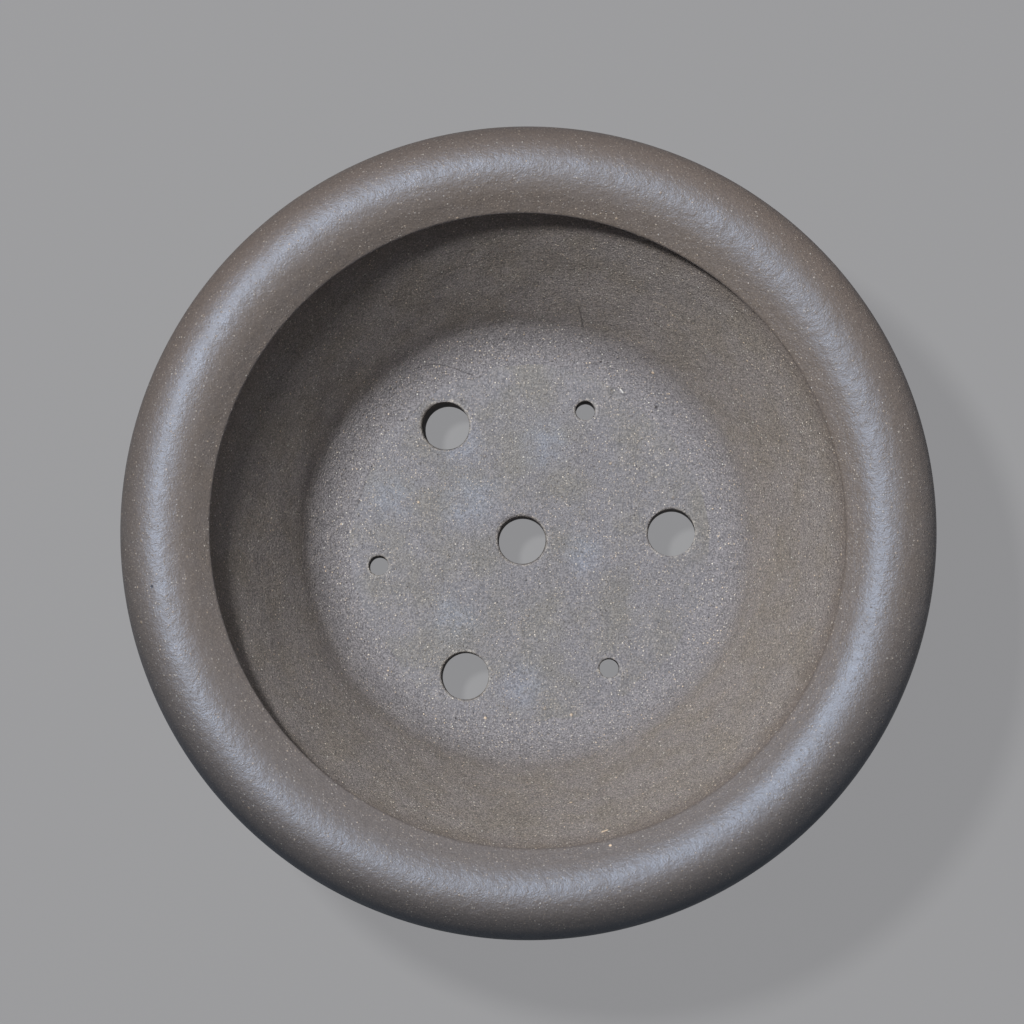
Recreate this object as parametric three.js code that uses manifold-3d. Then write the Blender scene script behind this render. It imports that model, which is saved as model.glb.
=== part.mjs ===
// Round bonsai pot in unglazed stoneware, millimetres, +Z up, standing on its three feet.
// The potter makes it from separate pieces of clay and joins them with slip: a round floor slab
// with drainage and tie-wire holes, a flared wall standing on the slab, a thick lip rolled over
// the wall's top edge, and three lugs under the slab as feet.

import * as THREE from 'three';
import { mergeVertices } from 'three/addons/utils/BufferGeometryUtils.js';
import Module from 'manifold-3d';

// Feet
const footHeight = 9;
const footWidth = 13;          // radially, at the seat under the slab
const footInset = 1;           // from the edge of the slab's flat underside
const footHalfSpan = 19;       // degrees of arc each side of the middle, before the round ends
const footDraft = 1.1;         // how much each side leans in on the way down
const footEdge = 1.4;          // rounding round the ground face
const footTurns = [65, 185, 305];

// Floor slab
const floorThickness = 8;
const baseRounding = 9;        // radial width of the rounded lower edge
const baseLean = 3;            // how far that edge leans in before it turns under

// Wall
const wallHeight = 54.4;       // from the slab to the lip's seat
const cornerRadius = 53;       // where the wall's inner face would meet the slab
const cornerFillet = 13;       // radius of the soft inside corner
const cornerEdge = 0.4;        // how thin the clay in that corner runs out on the slab
const wallFootThickness = 13;
const wallTopThickness = 7.5;
const wallBelly = 2.2;         // outward bow of the outer face
const neckHeight = 13;         // upright band under the lip
const wallBed = 1;             // how deep the wall's foot is pressed into the slab's edge

// Rolled lip
const lipOuterRadius = 100;
const lipWidth = 21.9;         // across the roll, inner to outer edge
const lipCrownSetback = 10.5;  // from the outer edge to where the roll is highest
const lipRise = 10;            // crown above the roll's widest level, outside
const lipInnerSpread = 11.5;   // half-width of the oval that the roll follows inside its crown
const lipBevel = 40;           // degrees of slope at which that oval runs on straight
const lipEdge = 1.1;           // radius of the inner edge that ends the bevel
const lipOverhang = 2.6;       // how far that edge stands in from the wall's top
const lipFold = 8;             // radius of the turn under the outside
const lipSkirt = 11.4;         // how far the roll laps down over the neck

// Slip left between pieces that pass side by side
const slipGap = 0.3;

// Holes cut by hand through the slab: [distance from the middle, turn from +X in degrees]
const drainBore = 12.2;
const drainMouthWear = 0.9;
const drainPlaces = [[2.1, 150.8], [36.8, 4.6], [37.5, 125.1], [37.7, 244.2]];
const wireBore = 5;
const wireMouthWear = 0.4;
const wirePlaces = [[37.5, 67.1], [39.1, 188.2], [38.1, 302.9]];

// Facets
const turnSteps = 72;
const drainSteps = 24;
const wireSteps = 16;
const arcSteps = 8;
const footEdgeSteps = 2;
const lipEdgeSteps = 4;
const mouthSteps = 3;
const cutterOvershoot = 1;

// Levels and radii that follow from the sizes above
const slabTop = footHeight + floorThickness;
const lipSeat = slabTop + wallHeight;
const bevel = THREE.MathUtils.degToRad(lipBevel);
const ovalTurn = Math.atan(Math.tan(bevel) * lipInnerSpread / lipRise);
const lipCrownRadius = lipOuterRadius - lipCrownSetback;
const lipInnerRadius = lipOuterRadius - lipWidth;
const bevelTop = lipCrownRadius - lipInnerSpread * Math.sin(ovalTurn);
const bevelFoot = lipInnerRadius + lipEdge * (1 - Math.sin(bevel));
const bevelFootLevel = lipSeat + lipEdge * (1 + Math.cos(bevel));
const bevelTopLevel = bevelFootLevel + (bevelTop - bevelFoot) * Math.tan(bevel);
const lipLevel = bevelTopLevel - lipRise * Math.cos(ovalTurn);
const wallTopInner = lipInnerRadius + lipOverhang;
const neckRadius = wallTopInner + wallTopThickness;
const baseRadius = cornerRadius + wallFootThickness;
const flatRadius = baseRadius - baseRounding;
const bedLevel = slabTop - wallBed;

const burnishedClay = { color: 0x8c8988, roughness: 0.5, metalness: 0 };
const sandyClay = { color: 0x8b8783, roughness: 0.85, metalness: 0 };

const wasm = await Module();
wasm.setup();

// Points [x, y] along an elliptical arc, anticlockwise angles in degrees from +x
function arc(centreX, centreY, wide, high, from, to, steps = arcSteps) {
  return Array.from({ length: steps + 1 }, (_, i) => {
    const angle = THREE.MathUtils.degToRad(from + (to - from) * i / steps);
    return [centreX + wide * Math.cos(angle), centreY + high * Math.sin(angle)];
  });
}

// A profile of [radius, height] points turned about +Z; the outline runs anticlockwise
function turned(profile, steps = turnSteps) {
  const outline = profile.map(([radius, height]) => new THREE.Vector2(radius, height));
  return new THREE.LatheGeometry(outline, steps).rotateX(Math.PI / 2);
}

function closed(profile) {
  return [...profile, profile[0]];
}

function toSolid(geometry) {
  const bare = geometry.clone();
  bare.deleteAttribute('normal');
  bare.deleteAttribute('uv');
  const merged = mergeVertices(bare, 1e-4);
  const vertProperties = new Float32Array(merged.attributes.position.array);
  const triVerts = new Uint32Array(merged.index.array);
  return new wasm.Manifold(new wasm.Mesh({ numProp: 3, vertProperties, triVerts }));
}

function toGeometry(solid) {
  const { vertProperties, triVerts } = solid.getMesh();
  const geometry = new THREE.BufferGeometry();
  geometry.setAttribute('position', new THREE.BufferAttribute(new Float32Array(vertProperties), 3));
  geometry.setIndex(new THREE.BufferAttribute(new Uint32Array(triVerts), 1));
  geometry.computeVertexNormals();
  return geometry;
}

function piece(name, geometry, finish) {
  const mesh = new THREE.Mesh(geometry, new THREE.MeshStandardMaterial(finish));
  mesh.name = name;
  return mesh;
}

// The lip: an oval roll, bevelled inside and folded down outside over the neck of the wall
function rolledLip() {
  const skirtFoot = lipSeat - lipSkirt;
  const under = arc(lipOuterRadius - lipFold, lipLevel, lipFold, lipLevel - skirtFoot, -90, 0);
  const outerTop = arc(lipCrownRadius, lipLevel, lipCrownSetback, lipRise, 0, 90);
  const ovalEnd = 90 + THREE.MathUtils.radToDeg(ovalTurn);
  const innerTop = arc(lipCrownRadius, lipLevel, lipInnerSpread, lipRise, 90, ovalEnd);
  const edgeCentre = lipInnerRadius + lipEdge;
  const edge = arc(edgeCentre, lipSeat + lipEdge, lipEdge, lipEdge, 90 + lipBevel, 270, lipEdgeSteps);
  const rebate = neckRadius + slipGap;
  return turned(closed([
    [rebate, skirtFoot],
    ...under,
    ...outerTop.slice(1),
    ...innerTop.slice(1),
    ...edge,
    [rebate, lipSeat],
  ]));
}

// The soft inside corner, from the wall's cone down to the thin edge on the slab
function insideCorner() {
  const flare = Math.atan2(wallTopInner - cornerRadius, wallHeight);
  const along = cornerFillet * (1 - Math.sin(flare)) / Math.cos(flare);
  const centre = cornerRadius + along * Math.sin(flare) - cornerFillet * Math.cos(flare);
  const thinned = THREE.MathUtils.radToDeg(Math.acos(1 - cornerEdge / cornerFillet));
  return arc(centre, slabTop + cornerFillet, cornerFillet, cornerFillet,
    -THREE.MathUtils.radToDeg(flare), thinned - 90);
}

// The wall: a flared cone inside, bowed outside, its foot pressed a little into the slab
function potWall() {
  const corner = insideCorner();
  const neckFoot = new THREE.Vector2(neckRadius, lipSeat - neckHeight);
  const base = new THREE.Vector2(baseRadius, bedLevel);
  const bow = neckFoot.clone().add(base).multiplyScalar(0.5);
  bow.x += 2 * wallBelly;
  const belly = new THREE.QuadraticBezierCurve(base, bow, neckFoot).getPoints(arcSteps);
  return turned(closed([
    ...belly.map((point) => [point.x, point.y]),
    [neckRadius, lipSeat],
    [wallTopInner, lipSeat],
    ...corner,
    [corner.at(-1)[0], bedLevel],
  ]));
}

// A cutter for one hole, with the slab's upper edge worn round by radius wear
function holeCutter([distance, turn], bore, wear, steps) {
  const low = footHeight - cutterOvershoot;
  const high = slabTop + cutterOvershoot;
  const mouth = arc(bore / 2 + wear, slabTop - wear, wear, wear, 180, 90, mouthSteps);
  const cutter = turned([[0, low], [bore / 2, low], ...mouth, [bore / 2 + wear, high], [0, high]], steps);
  const angle = THREE.MathUtils.degToRad(turn);
  return toSolid(cutter.translate(distance * Math.cos(angle), distance * Math.sin(angle), 0));
}

// The slab: a disc with a rounded lower edge and a bed for the wall, pierced by the holes
function floorSlab() {
  const edge = new THREE.QuadraticBezierCurve(
    new THREE.Vector2(flatRadius, footHeight),
    new THREE.Vector2(baseRadius - baseLean, footHeight),
    new THREE.Vector2(baseRadius, bedLevel),
  ).getPoints(arcSteps);
  const bedRadius = insideCorner().at(-1)[0] - slipGap;
  let slab = toSolid(turned([
    [0, footHeight],
    ...edge.map((point) => [point.x, point.y]),
    [bedRadius, bedLevel],
    [bedRadius, slabTop],
    [0, slabTop],
  ]));
  for (const place of drainPlaces) {
    slab = slab.subtract(holeCutter(place, drainBore, drainMouthWear, drainSteps));
  }
  for (const place of wirePlaces) {
    slab = slab.subtract(holeCutter(place, wireBore, wireMouthWear, wireSteps));
  }
  return toGeometry(slab);
}

// The kidney outline of a foot, drawn in from its seat by inset all round
function footOutline(inset) {
  const outer = flatRadius - footInset - inset;
  const inner = flatRadius - footInset - footWidth + inset;
  const half = THREE.MathUtils.degToRad(footHalfSpan);
  const endX = (outer + inner) / 2 * Math.cos(half);
  const endY = (outer + inner) / 2 * Math.sin(half);
  const round = (outer - inner) / 2;
  return [
    ...arc(0, 0, outer, outer, -footHalfSpan, footHalfSpan),
    ...arc(endX, endY, round, round, footHalfSpan, footHalfSpan + 180).slice(1, -1),
    ...arc(0, 0, inner, inner, footHalfSpan, -footHalfSpan),
    ...arc(endX, -endY, round, round, 180 - footHalfSpan, 360 - footHalfSpan).slice(1, -1),
  ];
}

// A foot: the outline lofted down from the slab, leaning in and rounded at the ground
function foot() {
  const groundEdge = arc(0, 0, footEdge, footEdge, 0, 90, footEdgeSteps)
    .map(([across, up]) => [footEdge - across, footDraft + footEdge - up]);
  const rings = [...groundEdge, [footHeight, 0]];
  const count = footOutline(0).length;
  const vertices = rings.flatMap(([height, inset]) => footOutline(inset)
    .map(([x, y]) => new THREE.Vector3(x, y, height)));
  const triangles = [];
  for (let ring = 0; ring < rings.length - 1; ring += 1) {
    for (let i = 0; i < count; i += 1) {
      const a = ring * count + i;
      const b = ring * count + (i + 1) % count;
      triangles.push(a, b, b + count, a, b + count, a + count);
    }
  }
  const ground = vertices.slice(0, count).map((point) => new THREE.Vector2(point.x, point.y));
  const cap = THREE.ShapeUtils.triangulateShape(ground, []);
  const top = (rings.length - 1) * count;
  for (const [a, b, c] of cap) {
    triangles.push(c, b, a, top + a, top + b, top + c);
  }
  const geometry = new THREE.BufferGeometry().setFromPoints(vertices);
  geometry.setIndex(triangles);
  geometry.computeVertexNormals();
  return geometry;
}

const pot = new THREE.Group();
pot.add(piece('floor_slab', floorSlab(), sandyClay));
pot.add(piece('pot_wall', potWall(), sandyClay));
pot.add(piece('rolled_lip', rolledLip(), burnishedClay));
footTurns.forEach((turn, i) => {
  const lug = piece(`foot_${i + 1}`, foot(), sandyClay);
  lug.rotation.z = THREE.MathUtils.degToRad(turn);
  pot.add(lug);
});

export default pot;
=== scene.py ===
import math

import bpy
import numpy as np
from mathutils import Matrix, Vector
from mathutils.geometry import delaunay_2d_cdt


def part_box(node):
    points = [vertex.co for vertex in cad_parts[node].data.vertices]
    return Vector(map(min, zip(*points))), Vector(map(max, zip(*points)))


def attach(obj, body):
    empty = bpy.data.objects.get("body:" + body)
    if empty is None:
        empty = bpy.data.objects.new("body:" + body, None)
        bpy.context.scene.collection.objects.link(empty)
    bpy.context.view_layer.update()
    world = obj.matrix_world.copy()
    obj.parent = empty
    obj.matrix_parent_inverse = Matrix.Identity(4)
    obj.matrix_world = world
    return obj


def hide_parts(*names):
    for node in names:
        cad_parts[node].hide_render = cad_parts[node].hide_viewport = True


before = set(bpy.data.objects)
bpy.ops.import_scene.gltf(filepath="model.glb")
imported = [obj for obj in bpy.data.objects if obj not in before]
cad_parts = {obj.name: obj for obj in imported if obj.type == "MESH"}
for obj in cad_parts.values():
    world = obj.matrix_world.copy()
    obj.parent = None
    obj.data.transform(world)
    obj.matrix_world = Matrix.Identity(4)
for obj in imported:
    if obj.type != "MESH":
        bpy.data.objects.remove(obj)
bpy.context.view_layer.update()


# Camera
# The photograph looks almost straight down the pot's axis into its mouth, so the camera hangs
# over the standing pot. Its tilt comes from the pixel where lines along the axis would meet.
PHOTO = 1024                    # pixels across the picture
FOCAL = 4070                    # pixels
AXIS_VANISHES = (545, 805)      # pixel
LIP_MIDDLE = (528.0, 530.4)     # pixel
LIP_DISTANCE = 0.9955           # metres from the lens to the lip's widest level
SENSOR = 36                     # only its ratio to the focal length counts
NEAREST = 0.01                  # metres; nothing nearer to the lens is drawn
MM = 0.001                      # sizes are in millimetres where nothing else is said

lip_low, lip_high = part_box("rolled_lip")
LIP_RISE = 10                   # crown above the roll's widest level
lip_crown = lip_high.z / MM
lip_level = lip_crown - LIP_RISE


def sight(pixel):
    """The direction of a pixel, in the camera's own axes."""
    return Vector(((pixel[0] - PHOTO / 2) / FOCAL, (PHOTO / 2 - pixel[1]) / FOCAL, -1))


pot_up = -sight(AXIS_VANISHES).normalized()
pot_back = (Vector((0, 1, 0)) - pot_up * pot_up.y).normalized()
turn = Matrix((pot_back.cross(pot_up), pot_back, pot_up))
to_lip = turn @ sight(LIP_MIDDLE)
eye = Vector((0, 0, lip_level * MM)) - to_lip * (LIP_DISTANCE / -to_lip.z)

lens = bpy.data.cameras.new("camera")
lens.sensor_fit = "HORIZONTAL"
lens.sensor_width = SENSOR
lens.lens = SENSOR * FOCAL / PHOTO
lens.clip_start = NEAREST
camera = bpy.data.objects.new("camera", lens)
camera.matrix_world = Matrix.Translation(eye) @ turn.to_4x4()
bpy.context.scene.collection.objects.link(camera)
bpy.context.scene.camera = camera
bpy.context.scene.view_settings.view_transform = "Standard"


# Floor slab
# A round slab of sandy clay, 8 mm thick, that the wall stands on, joined with slip. Four drainage
# holes and three tie-wire holes were cut through it by hand, and their mouths are worn and soft.
slab_low, slab_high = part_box("floor_slab")
slab_top = slab_high.z / MM
slab_under = slab_low.z / MM
slab_edge = slab_high.x / MM
wall_low, wall_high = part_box("pot_wall")
bed_level = wall_low.z / MM
FLAT_RADIUS = 57                # underside, inside the rounded lower edge
EDGE_LEAN = 3                   # how far that edge leans in before it turns under
SHEET_RADIUS = 48.5             # inside floor, to just under the wall's corner coil
SHEET_GRAIN = 1.3               # spacing of the points over the floor
RIM_STEPS = 288                 # points round the slab's edge
BED_STEP = 0.7                  # width over which the floor drops to the wall's bed
BED_RIM = 2                     # from the last ring of points on that bed to the slab's edge
DRAIN_BORE = 12.2
DRAIN_WEAR = 0.9                # radius of the worn mouth
DRAIN_RAGGED = 0.006            # how far a hole strays from round, as a share of its radius
DRAIN_PLACES = ((2.1, 150.8), (36.8, 4.6), (37.5, 125.1), (37.7, 244.2))    # distance and degrees
DRAIN_SLANTS = ((0.2, -0.1), (0.3, -0.2), (0.8, -0.6), (0.2, -0.1))     # lower end from upper end
WIRE_BORE = 5.0
WIRE_WEAR = 0.4
WIRE_RAGGED = 0.012
WIRE_PLACES = ((37.5, 67.1), (39.1, 188.2), (38.1, 302.9))
WIRE_SLANTS = ((0.1, -0.2), (0, -0.1), (0, 0))
REAR_WEAR = 0.4                 # at the lower end of every hole
CHIPPING = 0.35                 # how unevenly the mouths are worn, as a share
CHIP_RING = 9                   # radius at which a mouth reads the clay's swells
LEAST_WEAR, MOST_WEAR = 0.35, 1.8           # as shares of the typical wear
HOLE_WAVES = (2, 3, 5, 8)       # waves round a hole
SWELL_COUNT = 40
SHORTEST_SWELL, LONGEST_SWELL = 9, 45
FLOOR_SWELL = 0.09              # how far the swells typically stand proud
SWELL_FADE = 6                  # width over which they die away towards the wall

rng = np.random.default_rng(5)
swell_ways = rng.normal(size=(SWELL_COUNT, 3))
swell_ways /= np.linalg.norm(swell_ways, axis=1)[:, None]
swell_ways *= 2 * np.pi / rng.uniform(SHORTEST_SWELL, LONGEST_SWELL, SWELL_COUNT)[:, None]
swell_starts = rng.uniform(0, 2 * np.pi, SWELL_COUNT)


def unevenness(points):
    """How far hand-worked clay stands proud of its true shape, in units of its typical value.

    A sum of plane waves of many lengths in random directions, the same for every piece, so that
    neighbouring pieces swell together where they meet.
    """
    waves = np.sin(points @ swell_ways.T + swell_starts)
    return waves.sum(axis=-1) / math.sqrt(SWELL_COUNT / 2)


def add_piece(name, points, faces, smooth_up_to=40):
    """A mesh object, in which edges sharper than the angle stay crisp."""
    mesh = bpy.data.meshes.new(name)
    mesh.from_pydata((np.asarray(points) * MM).tolist(), [], [list(face) for face in faces])
    mesh.shade_smooth()
    mesh.set_sharp_from_angle(angle=math.radians(smooth_up_to))
    piece = bpy.data.objects.new(name, mesh)
    bpy.context.scene.collection.objects.link(piece)
    return piece


def grid_faces(rows, columns, close_rows=False):
    """Quads of a grid of points numbered row by row, whose columns close round.

    Where the columns run counter-clockwise round the axis, a profile whose rows run down faces
    away from the axis, and one whose rows run up faces it.
    """
    row = np.arange(rows if close_rows else rows - 1)[:, None]
    column = np.arange(columns)[None, :]
    here, below = row * columns, (row + 1) % rows * columns
    beside = (column + 1) % columns
    corners = np.stack([here + column, below + column, below + beside, here + beside], axis=-1)
    return corners.reshape(-1, 4)


def circle(radius, angles):
    """The points of a circle at the angles given: radius times their cosine and their sine."""
    return np.stack([radius * np.cos(angles), radius * np.sin(angles)], axis=-1)


def spun(angles, radii, heights):
    """Points of a profile turned about the pot's axis: rows are profile points."""
    return np.stack([radii * np.cos(angles), radii * np.sin(angles),
                     heights + 0 * angles], axis=-1)


def curve(start, towards, end, count):
    """A bent line from start to end that sets out and arrives in the direction of one point.

    With t from 0 to 1, it is (1 - t) squared of start, 2 t (1 - t) of that point and t squared of end.
    """
    start, towards, end = (np.array(point, float) for point in (start, towards, end))
    t = np.linspace(0, 1, count)[:, None]
    return (1 - t) ** 2 * start + 2 * t * (1 - t) * towards + t ** 2 * end


class Shell:
    """Points and faces of a closed surface, gathered from parts that share their border points."""

    def __init__(self):
        self.points = []
        self.faces = []
        self.count = 0

    def add(self, points, faces):
        points = points.reshape(-1, 3)
        self.points.append(points)
        self.faces.append(faces + self.count)
        self.count += len(points)

    def welded(self, within=1e-4):
        """The points with doubles made one, and the faces renumbered."""
        points = np.concatenate(self.points)
        keys = np.round(points / within).astype(np.int64)
        _, first, same = np.unique(keys, axis=0, return_index=True, return_inverse=True)
        same = same.reshape(-1)
        return points[first], [face for part in self.faces for face in same[part].tolist()]


def hand_cut_holes(places, bore, steps, ragged):
    """Each hole's middle, and its radius all round: nearly round, with a few low waves."""
    holes = []
    angles = np.linspace(0, 2 * np.pi, steps, endpoint=False)
    for distance, degrees in places:
        middle = circle(distance, math.radians(degrees))
        wobble = 0
        for waves in HOLE_WAVES:
            wobble = wobble + rng.normal() * np.cos(waves * angles + rng.uniform(0, 2 * np.pi)) / waves
        holes.append((middle, angles, bore / 2 * (1 + ragged * wobble)))
    return holes


def within(loop, points):
    """Which points lie inside a loop that runs counter-clockwise once round its middle.

    A point is inside where it lies to the left of the loop's edge that it is seen through.
    """
    spokes, off = loop - loop.mean(axis=0), points - loop.mean(axis=0)
    around = np.unwrap(np.arctan2(spokes[:, 1], spokes[:, 0]))
    way = (np.arctan2(off[:, 1], off[:, 0]) - around[0]) % (2 * np.pi) + around[0]
    edge = np.searchsorted(around, way, side="right") - 1
    ahead = np.roll(spokes, -1, axis=0)[edge] - spokes[edge]
    gone = off - spokes[edge]
    return ahead[:, 0] * gone[:, 1] > ahead[:, 1] * gone[:, 0]


def pierced_sheet(radius, loops, height):
    """A round sheet with holes, triangulated.

    Its points are the rims' own and a hexagonal field that stays a little clear of them, in rows
    the square root of 3/4 of its spacing apart. Its faces look up.
    """
    rim = np.linspace(0, 2 * np.pi, RIM_STEPS, endpoint=False)
    borders = [circle(radius, rim)] + loops
    count = math.ceil(radius / SHEET_GRAIN * 2 / math.sqrt(3))
    across, along = np.meshgrid(np.arange(-count, count + 1), np.arange(-count, count + 1))
    field = np.stack([(across + 0.5 * (along % 2)) * SHEET_GRAIN,
                      along * SHEET_GRAIN * math.sqrt(3) / 2], axis=-1).reshape(-1, 2)
    clear = 0.6 * SHEET_GRAIN
    inside = np.linalg.norm(field, axis=1) < radius - clear
    for loop in loops:
        middle = loop.mean(axis=0)
        reach = np.linalg.norm(loop - middle, axis=1).max() + clear
        inside &= np.linalg.norm(field - middle, axis=1) > reach
    flat = np.concatenate(borders + [field[inside]])
    edges, start = [], 0
    for border in borders:
        size = len(border)
        edges += [(start + i, start + (i + 1) % size) for i in range(size)]
        start += size
    _, _, faces, *_ = delaunay_2d_cdt(flat.tolist(), edges, [], 0, 1e-6)
    faces = np.array(faces)
    middles = flat[faces].mean(axis=1)
    for loop in loops:
        outside = ~within(loop, middles)
        faces, middles = faces[outside], middles[outside]
    return np.column_stack([flat, np.full(len(flat), height)]), faces


def slab_piece():
    """The slab: an upper and a lower pierced sheet, the walls of the holes, and the outer edge.

    A hole's wall is a quarter circle of wear at its mouth, a straight bore and a small quarter
    circle at its lower end, carried round its rim and slanted. The outer edge is a bent line that
    leans in and turns under. The floor swells inside the wall alone.
    """
    slab = Shell()
    depth = slab_top - slab_under
    drains = hand_cut_holes(DRAIN_PLACES, DRAIN_BORE, 96, DRAIN_RAGGED)
    wires = hand_cut_holes(WIRE_PLACES, WIRE_BORE, 56, WIRE_RAGGED)
    wears = [DRAIN_WEAR] * len(drains) + [WIRE_WEAR] * len(wires)
    mouth = np.linspace(0, np.pi / 2, 7)[:, None]
    straight = np.linspace(0, 1, 6)[1:, None]
    rear = np.linspace(0, np.pi / 2, 4)[1:, None]
    upper, lower = [], []
    for (middle, angles, radii), wear, slant in zip(drains + wires, wears, DRAIN_SLANTS + WIRE_SLANTS):
        chips = 1 + CHIPPING * unevenness(spun(angles, CHIP_RING, middle[0]))
        worn = wear * np.clip(chips, LEAST_WEAR, MOST_WEAR)
        out = np.concatenate([worn * (1 - np.sin(mouth)), 0 * straight * worn,
                              REAR_WEAR * (1 - np.cos(rear)) + 0 * worn])
        down = np.concatenate([worn * (1 - np.cos(mouth)), worn + straight * (depth - REAR_WEAR - worn),
                               depth - REAR_WEAR * (1 - np.sin(rear)) + 0 * worn])
        reach, sunk = radii + out, down / depth
        points = np.stack([middle[0] + reach * np.cos(angles) + sunk * slant[0],
                           middle[1] + reach * np.sin(angles) + sunk * slant[1], slab_top - down], axis=-1)
        slab.add(points, grid_faces(len(points), len(angles))[:, ::-1])
        upper.append(points[0, :, :2])
        lower.append(points[-1, :, :2])
    slab.add(*pierced_sheet(SHEET_RADIUS, upper, slab_top))
    points, faces = pierced_sheet(FLAT_RADIUS, lower, slab_under)
    slab.add(points, faces[:, ::-1])
    edge = curve((slab_edge, bed_level), (slab_edge - EDGE_LEAN, slab_under), (FLAT_RADIUS, slab_under), 14)
    bed = [[SHEET_RADIUS, slab_top], [SHEET_RADIUS + BED_STEP, bed_level], [slab_edge - BED_RIM, bed_level]]
    outline = np.concatenate([bed, edge])
    around = np.linspace(0, 2 * np.pi, RIM_STEPS, endpoint=False)[None, :]
    rim = spun(around, outline[:, :1], outline[:, 1:])
    slab.add(rim, grid_faces(len(outline), RIM_STEPS))
    points, faces = slab.welded()
    fade = np.clip((SHEET_RADIUS - np.hypot(points[:, 0], points[:, 1])) / SWELL_FADE, 0, 1)
    above_bed = points[:, 2] > bed_level + 0.2
    points[:, 2] += FLOOR_SWELL * unevenness(points) * fade * above_bed
    return add_piece("floor_slab_clay", points, faces)


class Tone:
    """A socket in a clay's material. Python's operators on it add Math nodes."""

    def __init__(self, tree, socket):
        self.tree = tree
        self.socket = socket

    def node(self, kind, settings=(), inputs=(), output=0):
        """Adds any node: its settings, then the values or links of its sockets."""
        made = self.tree.nodes.new(kind)
        for name, value in dict(settings).items():
            setattr(made, name, value)
        for name, value in dict(inputs).items():
            if isinstance(value, Tone):
                self.tree.links.new(value.socket, made.inputs[name])
            else:
                made.inputs[name].default_value = value
        return Tone(self.tree, made.outputs[output])

    def math(self, operation, *values):
        return self.node("ShaderNodeMath", {"operation": operation}, enumerate(values))

    def __add__(self, other):
        return self.math("ADD", self, other)

    def __sub__(self, other):
        return self.math("SUBTRACT", self, other)

    def __rsub__(self, other):
        return self.math("SUBTRACT", other, self)

    def __mul__(self, other):
        return self.math("MULTIPLY", self, other)

    __radd__ = __add__
    __rmul__ = __mul__

    def vector(self, operation, *values, output=0):
        return self.node("ShaderNodeVectorMath", {"operation": operation}, enumerate(values), output)

    def times(self, factor):
        """A vector or a colour made longer or brighter by a factor."""
        return self.node("ShaderNodeVectorMath", {"operation": "SCALE"}, {0: self, "Scale": factor})

    def part(self, which):
        """One of a vector's three numbers."""
        return self.node("ShaderNodeSeparateXYZ", {}, {0: self}, which)

    def ramp(self, low, high):
        """0 below low and 1 above high, eased between; falls instead where low is the larger."""
        return self.node("ShaderNodeMapRange", {"interpolation_type": "SMOOTHSTEP"},
                         {"Value": self, "From Min": low, "From Max": high})

    def paint(self, under, over):
        """The colour under where this is 0, the colour over where it is 1."""
        return self.node("ShaderNodeMix", {"data_type": "RGBA"}, {0: self, 6: under, 7: over}, 2)

    def noise(self, size, detail=1, rough=0.5):
        """Cloudy variation over this place, 0 to 1, with lumps of about size millimetres."""
        return self.node("ShaderNodeTexNoise", {}, {"Vector": self, "Scale": 1 / (size * MM),
                                                    "Detail": detail, "Roughness": rough})

    def grains(self, spacing, radius, share):
        """Sand in the clay: a mask of round grains, and two numbers drawn for each grain.

        One grain sits in each cell of the given spacing, in millimetres, and only a share of
        the cells hold one.
        """
        away = self.node("ShaderNodeTexVoronoi", {}, {"Vector": self, "Scale": 1 / (spacing * MM)})
        lot = Tone(self.tree, away.socket.node.outputs["Color"])
        reach = radius / spacing
        mask = away.ramp(reach, 0.5 * reach) * lot.part(0).ramp(1 - share, 1 - share + 0.02)
        return mask, lot.part(1), lot.part(2)

    def spot(self, place, reach, core=0.5):
        """1 at a place in millimetres, falling to 0 at reach; core is the share that stays full."""
        away = self.vector("DISTANCE", self, [MM * part for part in place], output=1)
        return away.ramp(reach * MM, reach * core * MM)

    def stroke(self, places, reach):
        """1 along straight lines from place to place, in millimetres, falling to 0 at reach.

        The nearest point of a line from a to b is a + t (b - a), where t is the share of the
        line that the place has gone along it, kept between 0 and 1.
        """
        line = None
        for a, b in zip(places, places[1:]):
            start = MM * Vector(a)
            run = MM * Vector(b) - start
            along = self.vector("SUBTRACT", self, start)
            gone = along.vector("DOT_PRODUCT", along, run / run.length_squared, output=1)
            gone = gone.node("ShaderNodeMapRange", {}, {"Value": gone})
            nearest = gone.node("ShaderNodeCombineXYZ", {}, {0: gone, 1: gone, 2: gone})
            nearest = nearest.vector("MULTIPLY_ADD", nearest, run, start)
            away = self.vector("DISTANCE", self, nearest, output=1).ramp(reach * MM, reach * 0.3 * MM)
            line = away if line is None else line.math("MAXIMUM", line, away)
        return line


def colour(red, green, blue):
    """A colour given as it looks on a screen, 0 to 255, in the linear numbers a shader takes."""
    def linear(value):
        return (value / 255 / 12.92) if value < 11 else ((value / 255 + 0.055) / 1.055) ** 2.4
    return (linear(red), linear(green), linear(blue), 1)


CREAM_SAND = colour(238, 214, 186)
WHITE_SAND = colour(240, 238, 232)
DARK_SPECK = colour(52, 45, 41)
COOL_LAMP_TINT = (0.58, 0.74, 1, 1)  # painted cool tint of the clay's shine, for a cool lamp's light
RELIEF = 0.1                    # height of one unit of relief in the clays


def new_clay(name):
    """A clay's material, and the place in the pot's own axes that its patterns read."""
    material = bpy.data.materials.new(name)
    material.use_nodes = True
    tree = material.node_tree
    return material, Tone(tree, tree.nodes.new("ShaderNodeTexCoord").outputs["Object"])


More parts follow.
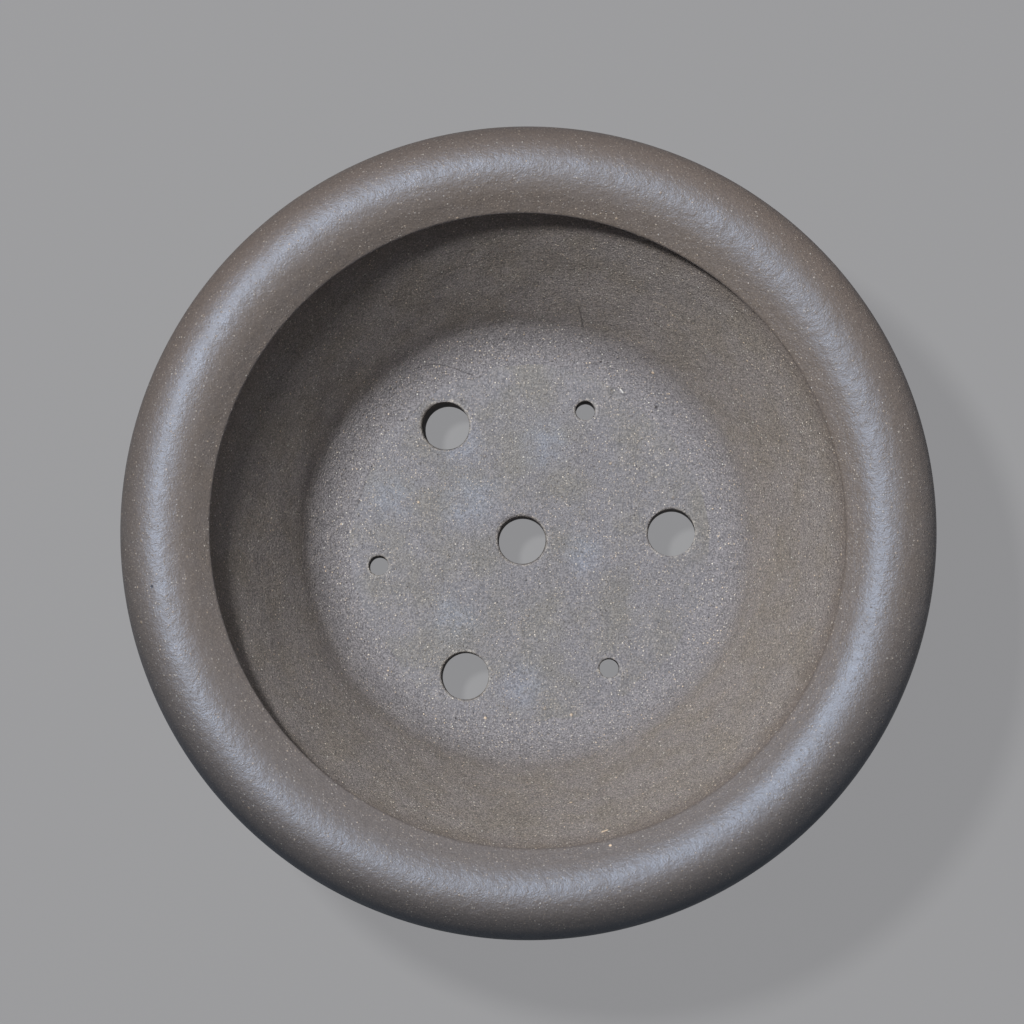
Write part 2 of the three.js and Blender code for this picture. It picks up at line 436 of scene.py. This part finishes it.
def sanded(place, body, bared):
    """Sand in the clay, as far as it is bared: the clay's colour with it, and its relief.

    Everywhere there is a fine light and dark grit. In it lie small and larger pale grains, each
    with its own strength and tint, a few coarse ones, and dark specks.
    """
    grit = place.noise(0.42).ramp(0.28, 0.72) - 0.5
    lumps = place.noise(1.9, 2, 0.6) - 0.5
    dots, dot_lot, dot_tint = place.grains(spacing=0.58, radius=0.19, share=0.6)
    sand, sand_lot, sand_tint = place.grains(spacing=1.02, radius=0.28, share=0.7)
    coarse, coarse_lot, _ = place.grains(spacing=5.5, radius=0.5, share=0.3)
    specks, speck_lot, _ = place.grains(spacing=1.55, radius=0.26, share=0.45)
    body = body.times(1 + (grit * 0.62 + lumps * 0.35) * bared)
    body = (specks * speck_lot * bared * 0.7).paint(body, DARK_SPECK)
    body = (dots * dot_lot * bared * 0.6).paint(body, dot_tint.paint(CREAM_SAND, WHITE_SAND))
    strength = sand_lot * sand_lot * bared
    body = (sand * strength * 0.95).paint(body, sand_tint.paint(CREAM_SAND, WHITE_SAND))
    body = (coarse * coarse_lot * bared * 0.7).paint(body, CREAM_SAND)
    relief = (grit * 0.65 + sand * 1.3 + coarse * 1.6 - specks * 0.7) * bared + lumps * 1.8
    return body, relief


def fired(material, body, rough, relief, shine, index=1.5):
    """Joins a clay's colour, roughness and relief to its shader, with a painted cool tint on its shine for
    a cool lamp.

    The index is the clay's index of refraction, higher where it is burnished.
    """
    tree = material.node_tree
    shader = tree.nodes["Principled BSDF"]
    bump = relief.node("ShaderNodeBump", {}, {"Strength": 1.0, "Distance": RELIEF * MM, "Height": relief})
    for socket, tone in (("Base Color", body), ("Roughness", rough), ("Normal", bump)):
        tree.links.new(tone.socket, shader.inputs[socket])
    shader.inputs["IOR"].default_value = index
    shader.inputs["Specular IOR Level"].default_value = shine
    shader.inputs["Specular Tint"].default_value = COOL_LAMP_TINT


FLOOR_BODY = colour(130, 126, 127)
FLOOR_BROWN = colour(127, 122, 116)
BLOOM = colour(150, 158, 176)
BLOOM_PLACES = (((-15, 11, 17), 11), ((-18, 25, 17), 9), ((-19, -19, 17), 10),
                ((-36, 12, 17), 10), ((14, -3, 17), 8), ((4, 26, 17), 9), ((-2, -36, 17), 9))
BLOOM_STRAY = 7                 # how far the patches' borders stray
BLOOM_STRENGTH = 0.42
RIM_PALE = colour(190, 184, 175)
# painted shade down the holes' bores
BORE_SHADE = colour(84, 75, 66)


def floor_clay():
    """Sandy clay with a faint cool bloom in patches, pale worn rims, and painted shade down the bores.

    The underside is a little darker, with the fine rings of a trimming tool.
    """
    material, place = new_clay("floor_clay")
    flat = place.vector("MULTIPLY", place, (1, 1, 0))
    away = flat.vector("LENGTH", flat, output=1)
    height = place.part(2)
    from_hole = None
    for places, bore in ((DRAIN_PLACES, DRAIN_BORE), (WIRE_PLACES, WIRE_BORE)):
        for distance, degrees in places:
            middle = (*circle(distance * MM, math.radians(degrees)), 0)
            gap = flat.vector("DISTANCE", flat, middle, output=1) - bore / 2 * MM
            from_hole = gap if from_hole is None else gap.math("MINIMUM", gap, from_hole)
    ragged = place.noise(1.1, 2, 0.6)
    rim = (from_hole - ragged * 0.9 * MM).ramp(0.4 * MM, 0) * ragged.ramp(0.4, 0.62)
    bore = from_hole.ramp(0.55 * MM, 0.2 * MM) * height.ramp((slab_top - 0.15) * MM, (slab_top - 0.8) * MM)
    stray = (place.noise(9, 2) - 0.5) * (BLOOM_STRAY * MM)
    strayed = place.vector("ADD", place, stray.node("ShaderNodeCombineXYZ", {}, {0: stray, 1: stray}))
    bloom = None
    for middle, reach in BLOOM_PLACES:
        patch = strayed.spot(middle, reach, 0.1)
        bloom = patch if bloom is None else bloom.math("MAXIMUM", bloom, patch)
    body = place.noise(13, 3, 0.6).ramp(0.35, 0.68).paint(FLOOR_BODY, FLOOR_BROWN)
    body = (bloom * place.noise(3.2, 3, 0.6).ramp(0.2, 0.75) * BLOOM_STRENGTH).paint(body, BLOOM)
    underside = height.ramp(bed_level * MM, (bed_level - 3) * MM)
    trimmed = away.node("ShaderNodeCombineXYZ", {}, {2: away}).noise(0.9, 3, 0.6) - 0.5
    body = body.times(1 - underside * (0.1 - trimmed * 0.35))
    body = (rim * (1 - underside) * 0.42).paint(body, RIM_PALE)
    # painted shade down the bores
    body = (bore * 0.8).paint(body, BORE_SHADE)
    body, relief = sanded(place, body, 1 - underside * 0.55 - bore * 0.5)
    relief = relief + underside * trimmed * 2.5
    fired(material, body, 0.6 + ragged * 0.1 + bore * 0.15, relief, 0.75)
    return material


slab = slab_piece()
slab.data.materials.append(floor_clay())
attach(slab, "root")
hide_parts("floor_slab")


# Pot wall
# A band of the same clay, flared to a cone, joined to the slab with slip. A coil of clay is
# pressed into the inside corner, and the outside bows a little and was smoothed with a rib.
CORNER_RADIUS = 53              # where the cone would meet the slab
CORNER_FILLET = 13
LIP_INNER_RADIUS = 78.1
LIP_OVERHANG = 2.6              # how far the lip's inner edge stands in from the wall's top
WALL_BELLY = 2.2                # how far the outside bows
NECK_HEIGHT = 13                # straight band at the top that the lip folds over
SEAM_GAP = 0.3                  # slip between that band and the lip
HAIR = 0.05                     # to a neighbour's face, so that no two faces fall together
SEAT_HAIR = 0.02                # the same where a piece stands on the slab or hangs under it
WALL_CORE = 4                   # from the cone inside to the middle of the wall
CREASE_SHADE_REACH = 14               # how far the painted shade under the lip comes down the wall
WALL_STEPS = 576                # points round the wall
WALL_SWELL = 0.12
HOLLOW_DEPTH = 0.12             # the hollow above the coil, all round
HOLLOWS = ((0.3, 195, 110), (0.2, 90, 60))      # where it is deeper
HOLLOW_RISE = 7.5               # its middle above the floor
HOLLOW_SPREAD = 3.5

lip_seat = wall_high.z / MM
neck_radius = wall_high.x / MM
wall_top_inner = LIP_INNER_RADIUS + LIP_OVERHANG
flare_slope = (wall_top_inner - CORNER_RADIUS) / (lip_seat - slab_top)


def run(start, end, spacing):
    """Evenly spaced points on a straight line, without its last point."""
    start, end = np.array(start, float), np.array(end, float)
    count = max(1, round(np.linalg.norm(end - start) / spacing))
    return start + (end - start) * (np.arange(count) / count)[:, None]


def arc(centre, wide, high, start, end, count):
    """Points of an ellipse from one angle to another, in degrees.

    Each is the centre plus the angle's cosine times wide and its sine times high.
    """
    turns = np.radians(np.linspace(start, end, count))
    return np.column_stack([centre[0] + wide * np.cos(turns), centre[1] + high * np.sin(turns)])


def humps(angles, places):
    """A sum of smooth humps round the pot: each one's height, direction and width in degrees.

    A hump falls off as a bell curve does. 2.77 is 4 times the logarithm of 2, which brings it to
    half its height at half its width from its middle.
    """
    total = 0
    for height, degrees, width in places:
        off = (angles - math.radians(degrees) + np.pi) % (2 * np.pi) - np.pi
        total = total + height * np.exp(-2.77 * (off / math.radians(width)) ** 2)
    return total


def wall_piece():
    """The wall's outline, from the corner coil up the inside, over the top and down the outside.

    It is carried round the pot with the clay's swells, and a shallow hollow above the coil that
    is deepest at the left and the top of the picture. The coil is a circle's arc that runs out
    into the cone, and the outside is a bent line.
    """
    flare = math.atan(flare_slope)
    along = CORNER_FILLET * (1 - math.sin(flare)) / math.cos(flare)
    centre = CORNER_RADIUS + along * math.sin(flare) - CORNER_FILLET * math.cos(flare)
    coil = arc((centre, slab_top - HAIR + CORNER_FILLET), CORNER_FILLET, CORNER_FILLET,
               -90, -math.degrees(flare), 24)
    inside = run(coil[-1] + (0.2, 0.45), (wall_top_inner, lip_seat - 2 * HAIR), 0.75)
    top = lip_seat - HAIR
    neck_foot = np.array([neck_radius, lip_seat - NECK_HEIGHT])
    base = np.array([slab_edge, bed_level])
    bed = bed_level + SEAT_HAIR
    bed_end = SHEET_RADIUS + 1
    outline = np.concatenate([
        coil,
        inside,
        run((wall_top_inner, top), (neck_radius, top), 3),
        run((neck_radius, top), neck_foot, 2),
        curve(neck_foot, (neck_foot + base) / 2 + (2 * WALL_BELLY, 0), base, 56),
        run((slab_edge - 0.5, bed), (bed_end, bed), 5),
        [[bed_end, bed], [bed_end - 0.3, slab_top - 0.3], [centre - 0.3, slab_top - 0.3]],
    ])
    around = np.linspace(0, 2 * np.pi, WALL_STEPS, endpoint=False)[None, :]
    heights = outline[:, 1:]
    points = spun(around, outline[:, :1], heights)
    steady = np.clip((heights - slab_top) / 5, 0, 1) * np.clip((lip_seat - heights) / 3, 0, 1)
    inner_side = np.arange(len(outline))[:, None] < len(coil) + len(inside)
    hollow = np.exp(-((heights - slab_top - HOLLOW_RISE) / HOLLOW_SPREAD) ** 2) * inner_side
    outward = WALL_SWELL * unevenness(points) * steady + (HOLLOW_DEPTH + humps(around, HOLLOWS)) * hollow
    points[..., :2] += outward[..., None] * circle(1, around)
    faces = grid_faces(len(outline), WALL_STEPS, close_rows=True)
    return add_piece("pot_wall_clay", points.reshape(-1, 3), faces)


WALL_BODY = colour(141, 134, 130)
WALL_GREEN = colour(136, 128, 120)
RUBBED_BODY = colour(116, 109, 104)
# painted shade for the crease and the shadow under the lip
UNDER_LIP_SHADE = colour(94, 79, 68)
CRACK = ((12.5, 60.2, 33.6), (13.0, 58.9, 31.3), (13.6, 56.9, 27.6), (14.0, 55.3, 24.3))
HAIRLINE = ((-29.6, 44.8, 20.2), (-27.1, 45.8, 19.8), (-24.3, 46.3, 19.1), (-21.4, 46.0, 18.3),
            (-17.8, 44.9, 17.4), (-14.6, 43.7, 17.0))
SCRATCH = ((31.5, 59.4, 44.8), (33.4, 58.7, 45.4), (34.6, 58.0, 45.4))
FIBRE = ((23.6, 40.1, 17.0), (24.3, 39.2, 17.0))
PITS = (((32.9, 35.3, 17.4), 0.65), ((18.6, 47.0, 18.2), 0.4))
LONG_GRAIN = ((18.2, -73.7, 61.7), (19.4, -73.3, 61.4))
RIB_LINES = 0.7                 # from one line that the rib left to the next


def wall_clay():
    """Sandy inside, with painted shade up under the lip, and the marks that the maker's hand left.

    The outside was rubbed with a rib, which left fine level lines.
    """
    material, place = new_clay("wall_clay")
    flat = place.vector("MULTIPLY", place, (1, 1, 0))
    away = flat.vector("LENGTH", flat, output=1)
    height = place.part(2)
    middle = CORNER_RADIUS + WALL_CORE - slab_top * flare_slope
    outside = (away - height * flare_slope - middle * MM).ramp(0, MM)
    crease_shade = height.ramp((lip_seat - CREASE_SHADE_REACH) * MM, (lip_seat - 1) * MM) * (1 - outside)
    body = place.noise(11, 3, 0.6).ramp(0.35, 0.68).paint(WALL_BODY, WALL_GREEN)
    body = height.ramp((slab_top + 11) * MM, (slab_top + 2) * MM).paint(body, FLOOR_BODY)
    body = outside.paint(body, RUBBED_BODY)
    # painted shade up under the lip
    body = (crease_shade * (0.35 + place.noise(4, 2) * 0.5)).paint(body, UNDER_LIP_SHADE)
    level = height.node("ShaderNodeCombineXYZ", {}, {2: height})
    lines = level.vector("ADD", level, place.times(0.04)).noise(RIB_LINES, 3, 0.6) - 0.5
    body = body.times(1 + outside * (lines * 0.3 + place.noise(18, 3, 0.6) * 0.4 - 0.2))
    body, relief = sanded(place, body, 1.2 - outside * 0.75 - crease_shade * 0.4)
    dark = place.stroke(CRACK, 0.32) * 0.42 + place.stroke(HAIRLINE, 0.28) * 0.42
    for middle, reach in PITS:
        dark = dark + place.spot(middle, reach, 0.3) * 0.85
    body = dark.paint(body, DARK_SPECK)
    body = (place.stroke(SCRATCH, 0.25) * 0.3).paint(body, CREAM_SAND)
    body = (place.stroke(LONG_GRAIN, 0.45) * 0.8).paint(body, CREAM_SAND)
    body = (place.stroke(FIBRE, 0.3) * 0.6).paint(body, WHITE_SAND)
    relief = relief + outside * lines * 2.2 - dark * 1.5 + place.noise(6, 2) * 2.5
    fired(material, body, 0.66 - outside * 0.08 + lines * outside * 0.1, relief, 0.6)
    return material


wall = wall_piece()
wall.data.materials.append(wall_clay())
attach(wall, "root")
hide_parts("pot_wall")


# Rolled lip
# A thick roll of clay laid over the wall's top edge and folded down outside. It was drawn
# true and burnished by hand, so its inner edge wanders a little and it has a low shine, painted cool for a
# cool lamp.
LIP_CROWN_RADIUS = 89.5
LIP_OUTWARD = 10.5              # half-width of the oval outside the crown
LIP_INNER_SPREAD = 11.5         # half-width of the oval inside the crown
LIP_BEVEL = math.radians(40)    # slope at which that oval runs on straight
LIP_EDGE = 1.1                  # radius of the inner edge that ends the bevel
LIP_FOLD = 8                    # how far the roll turns in again under its widest level
LIP_STEPS = 720                 # points round the lip
LIP_SWELL = 0.05
INNER_SHIFT = -0.25             # inner edge, from its true radius
INNER_WANDER = ((-0.6, 58, 50), (-0.5, 30, 70), (0.45, 128, 70), (-0.55, 235, 90), (0.5, 300, 50))
OUTER_WANDER = ((-0.25, 70, 60),)
INNER_LIFT = ((0.5, 10, 80),)
OUTER_LIFT = ((0.7, 20, 90), (-0.4, 265, 110))

lip_radius = lip_high.x / MM
skirt_foot = lip_low.z / MM


def lip_piece():
    """The roll's section carried round the pot, with its edges' own wander.

    The section runs up the outside on two elliptical arcs, over the crown on a third, and
    straight down the inner bevel to a small round edge. Towards both edges the roll strays in,
    out, up and down by a few humps round the pot, and the crown stays true.
    """
    rebate = neck_radius + SEAM_GAP
    oval_turn = math.degrees(math.atan(math.tan(LIP_BEVEL) * LIP_INNER_SPREAD / LIP_RISE))
    oval = arc((LIP_CROWN_RADIUS, lip_level), LIP_INNER_SPREAD, LIP_RISE, 90, 90 + oval_turn, 30)
    edge = arc((LIP_INNER_RADIUS + LIP_EDGE, lip_seat + LIP_EDGE), LIP_EDGE, LIP_EDGE,
               90 + math.degrees(LIP_BEVEL), 270, 12)
    outline = np.concatenate([
        run((rebate, skirt_foot), (lip_radius - LIP_FOLD, skirt_foot), 0.8),
        arc((lip_radius - LIP_FOLD, lip_level), LIP_FOLD, lip_level - skirt_foot, -90, 0, 22)[:-1],
        arc((LIP_CROWN_RADIUS, lip_level), LIP_OUTWARD, LIP_RISE, 0, 90, 26)[:-1],
        oval[:-1],
        run(oval[-1], edge[0], 0.5),
        edge,
        run(edge[-1] + (0.3, 0), (rebate, lip_seat), 3),
        run((rebate, lip_seat), (rebate, skirt_foot), 2),
    ])
    around = np.linspace(0, 2 * np.pi, LIP_STEPS, endpoint=False)[None, :]
    radii, heights = outline[:, :1], outline[:, 1:]
    inward = np.clip((LIP_CROWN_RADIUS - radii) / (LIP_CROWN_RADIUS - LIP_INNER_RADIUS), 0, 1) ** 1.5
    outward = np.clip((radii - LIP_CROWN_RADIUS) / LIP_OUTWARD, 0, 1) ** 1.5
    inner_wander = humps(around, INNER_WANDER) + INNER_SHIFT
    inner_lift = humps(around, INNER_LIFT) * np.clip((heights - lip_seat) / 3, 0, 1)
    points = spun(around, radii + inward * inner_wander + outward * humps(around, OUTER_WANDER), heights)
    points[..., 2] += inward * inner_lift + outward * humps(around, OUTER_LIFT)
    points[..., 2] += LIP_SWELL * unevenness(points) * (inward + outward)
    points[..., 2] = np.minimum(points[..., 2], lip_crown)
    faces = grid_faces(len(outline), LIP_STEPS, close_rows=True)
    return add_piece("rolled_lip_clay", points.reshape(-1, 3), faces[:, ::-1])


LIP_BODY = colour(114, 105, 99)
LIP_BROWN = colour(111, 100, 90)
# painted warm light and cool sheen on the lip's sides
LIP_WARM_LIGHT = colour(119, 103, 90)
LIP_COOL_SHEEN = colour(110, 105, 104)
LIP_LIT = (9.1, 4.2, 0)         # towards the side that the room lights most; 10 to the metre
LIP_SPECK = (-91.3, -14.3, 78.4)
PALE_GRAIN = (20.0, -76.9, 74.2)


def lip_clay():
    """Burnished clay: the sand is pressed in, and short fine strokes cross the roll.

    It is painted warmer at the top of the picture and cooler at the bottom, for the light and sheen that
    fall there. Painted shade darkens its outer side, most at the bottom and least at the right, where
    painted light lifts it.
    """
    material, place = new_clay("lip_clay")
    flat = place.vector("MULTIPLY", place, (1, 1, 0))
    away = flat.vector("LENGTH", flat, output=1)
    height = place.part(2)
    inside = away.ramp((LIP_CROWN_RADIUS - 5) * MM, (LIP_INNER_RADIUS + 1) * MM)
    outside = away.ramp((LIP_CROWN_RADIUS - 1) * MM, (lip_radius - 1) * MM)
    flanks = height.ramp((lip_crown - 1) * MM, (lip_level + 2) * MM)
    crease_shade = height.ramp((lip_seat + 2.2) * MM, (lip_seat + 0.5) * MM) * inside
    mottle = place.noise(7, 3, 0.6)
    warm_light_side = place.part(1).ramp(-10 * MM, 70 * MM)
    shade_and_sheen_side = place.part(1).ramp(0, -75 * MM)
    body = (mottle.ramp(0.3, 0.7) * 0.6 + flanks * 0.4).paint(LIP_BODY, LIP_BROWN)
    # painted warm light on the outer flank at the top of the picture
    body = (outside * warm_light_side * 0.8).paint(body, LIP_WARM_LIGHT)
    # painted cool sheen towards the bottom of the picture
    body = (shade_and_sheen_side * 0.5).paint(body, LIP_COOL_SHEEN)
    # painted shade where the lip's inner edge meets the wall
    body = (crease_shade * 0.6).paint(body, UNDER_LIP_SHADE)
    ring = flat.vector("NORMALIZE", flat).times(LIP_CROWN_RADIUS * MM)
    across = (away - height) * 0.3
    strokes = ring.vector("ADD", ring, across.node("ShaderNodeCombineXYZ", {}, {2: across}))
    strokes = strokes.noise(0.5, 2, 0.6) - 0.5
    body, relief = sanded(place, body, 0.36 + (inside + outside) * 0.16)
    lit_side = flat.vector("DOT_PRODUCT", flat, LIP_LIT, output=1).ramp(0.3, 1)
    brim_shade = away.ramp((lip_radius - 3) * MM, (lip_radius - 0.6) * MM) * shade_and_sheen_side
    # painted shade on the outer side and its brim, most at the bottom, with painted light at the right
    body = body.times(1 + strokes * 0.09 + inside * 0.06
                      - outside * (0.34 + shade_and_sheen_side * 0.3 - lit_side * 0.3) - brim_shade * 0.25)
    body = place.spot(LIP_SPECK, 0.55).paint(body, DARK_SPECK)
    body = place.spot(PALE_GRAIN, 0.45).paint(body, CREAM_SAND)
    relief = relief + strokes * 0.12 + place.noise(5, 2) * 1.6
    rough = 0.53 + outside * 0.08 + strokes * 0.07 + (mottle - 0.5) * 0.12
    fired(material, body, rough, relief, 0.88, 1.6)
    return material


lip = lip_piece()
lip.data.materials.append(lip_clay())
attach(lip, "root")
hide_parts("rolled_lip")


# Feet
# Three kidney-shaped lugs pressed on under the slab and joined with slip. The photograph
# doesn't show them, so they are plain ones of the kind that such pots have.
FOOT_TURNS = (65, 185, 305)
FOOT_WIDTH = 13
FOOT_INSET = 1                  # from the edge of the slab's flat underside
FOOT_HALF_SPAN = math.radians(19)
FOOT_DRAFT = 1.1                # how far the sides lean in, down to the edge at the ground
FOOT_EDGE = 1.4                 # radius of that edge


def foot_piece(name, degrees):
    """Rings of a kidney outline from the ground up to the slab, each a little larger, and capped.

    A ring is an arc outside, an arc inside, and a half circle at each end.
    """
    high = slab_under
    turns = np.linspace(0, np.pi / 2, 8)
    heights = np.concatenate([FOOT_EDGE * (1 - np.cos(turns)), np.linspace(FOOT_EDGE, high - 1, 8)[1:],
                              [high - 0.5, high - SEAT_HAIR]])
    insets = np.concatenate([FOOT_DRAFT + FOOT_EDGE * (1 - np.sin(turns)),
                             np.linspace(FOOT_DRAFT, 0.1, 8)[1:], [0.05, 0]])
    outer = FLAT_RADIUS - FOOT_INSET - insets
    inner = FLAT_RADIUS - FOOT_INSET - FOOT_WIDTH + insets
    middle = math.radians(degrees)
    first, last = middle - FOOT_HALF_SPAN, middle + FOOT_HALF_SPAN
    long_side = np.linspace(first, last, 40)
    cap = np.linspace(0, np.pi, 22)[1:-1]

    def ring(big, small):
        reach, round_end = (big + small) / 2, (big - small) / 2
        return np.concatenate([
            circle(big, long_side), circle(reach, last) + circle(round_end, last + cap),
            circle(small, long_side[::-1]), circle(reach, first) - circle(round_end, first + cap)])

    rings = np.array([ring(big, small) for big, small in zip(outer, inner)])
    count = rings.shape[1]
    levels = np.broadcast_to(heights[:, None, None], (len(heights), count, 1))
    points = np.concatenate([rings, levels], axis=-1).reshape(-1, 3)
    faces = grid_faces(len(heights), count)[:, ::-1].tolist()
    top_ring = len(points) - count
    faces += [list(range(count))[::-1], list(range(top_ring, len(points)))]
    return add_piece(name, points, faces, smooth_up_to=35)


FOOT_WORN = colour(150, 141, 130)


def foot_clay():
    """The rubbed clay of the outside, worn paler and bare where the foot meets the ground."""
    material, place = new_clay("foot_clay")
    body = place.noise(9, 3, 0.6).paint(LIP_BODY, RUBBED_BODY)
    worn = (place.part(2) - place.noise(1.5, 2) * 0.6 * MM).ramp(0.5 * MM, 0)
    body = (worn * 0.7).paint(body, FOOT_WORN)
    body, relief = sanded(place, body, 0.55 + worn * 0.4)
    fired(material, body, 0.62 + worn * 0.15, relief, 0.6)
    return material


lug_clay = foot_clay()
for number, degrees in enumerate(FOOT_TURNS, start=1):
    foot = foot_piece(f"foot_{number}_clay", degrees)
    foot.data.materials.append(lug_clay)
    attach(foot, "root")
    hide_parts(f"foot_{number}")


# Studio
# One soft lamp high on the upper left of the picture, as in the photograph, an even fill
# from all round, and a plain pale floor that the pot stands on.
LAMP_TURN = math.radians(144)
LAMP_TILT = math.radians(24)    # from straight above
LAMP_DISTANCE = 1.3             # metres, as are the lamp's and the floor's sizes
LAMP_SIZE = 0.14
KEY_SHARE = 1.16                # brightness of a white sheet that faces the lamp
FILL_LEAST = 0.02               # from straight above and from the darkest side
FILL_LEVEL = 0.32               # from the sides, on the average
FILL_SIDE = (1.25, 0.6, 0)      # it is stronger from the upper right of the picture

lamp_way = Vector((math.sin(LAMP_TILT) * math.cos(LAMP_TURN),
                   math.sin(LAMP_TILT) * math.sin(LAMP_TURN), math.cos(LAMP_TILT)))
lamp = bpy.data.lights.new("lamp", "AREA")
lamp.shape = "DISK"
lamp.size = LAMP_SIZE
lamp.energy = KEY_SHARE * (math.pi * LAMP_DISTANCE) ** 2
lamp_object = bpy.data.objects.new("lamp", lamp)
lamp_object.location = Vector((0, 0, lip_level * MM)) + lamp_way * LAMP_DISTANCE
lamp_object.rotation_euler = lamp_way.to_track_quat("Z", "Y").to_euler()
bpy.context.scene.collection.objects.link(lamp_object)

world = bpy.data.worlds.new("room")
world.use_nodes = True
sky = world.node_tree.nodes["Background"]
sky.inputs["Color"].default_value = (1, 1, 1, 1)
way = Tone(world.node_tree, world.node_tree.nodes.new("ShaderNodeTexCoord").outputs["Generated"])
level_share = way.part(2).ramp(0.55, 0.05)
side_share = 1 + way.vector("DOT_PRODUCT", way, FILL_SIDE, output=1)
fill = (FILL_LEAST + level_share * (FILL_LEVEL - FILL_LEAST)) * side_share
fill = fill.math("MAXIMUM", fill, FILL_LEAST)
world.node_tree.links.new(fill.socket, sky.inputs["Strength"])
bpy.context.scene.world = world

FLOOR_HALF = 3
FLOOR_GLOW = (0.27, 0.27, 0.2781, 1)    # its own pale light, which only the camera and mirrors see
FLOOR_GREY = (0.06, 0.06, 0.06, 1)
corners = [(-FLOOR_HALF, -FLOOR_HALF, 0), (FLOOR_HALF, -FLOOR_HALF, 0),
           (FLOOR_HALF, FLOOR_HALF, 0), (-FLOOR_HALF, FLOOR_HALF, 0)]
floor_mesh = bpy.data.meshes.new("studio_floor")
floor_mesh.from_pydata(corners, [], [(0, 1, 2, 3)])
floor = bpy.data.objects.new("studio_floor", floor_mesh)
bpy.context.scene.collection.objects.link(floor)
paper = bpy.data.materials.new("studio_paper")
paper.use_nodes = True
sheet = paper.node_tree.nodes["Principled BSDF"]
rays = paper.node_tree.nodes.new("ShaderNodeLightPath").outputs
seen = Tone(paper.node_tree, rays["Is Camera Ray"])
for kind in ("Is Glossy Ray", "Is Transmission Ray"):
    seen = seen.math("MAXIMUM", seen, Tone(paper.node_tree, rays[kind]))
glow = seen.paint((0, 0, 0, 1), FLOOR_GLOW)
paper.node_tree.links.new(glow.socket, sheet.inputs["Emission Color"])
sheet.inputs["Emission Strength"].default_value = 1
sheet.inputs["Base Color"].default_value = FLOOR_GREY
sheet.inputs["Roughness"].default_value = 0.9
sheet.inputs["Specular IOR Level"].default_value = 0
floor_mesh.materials.append(paper)
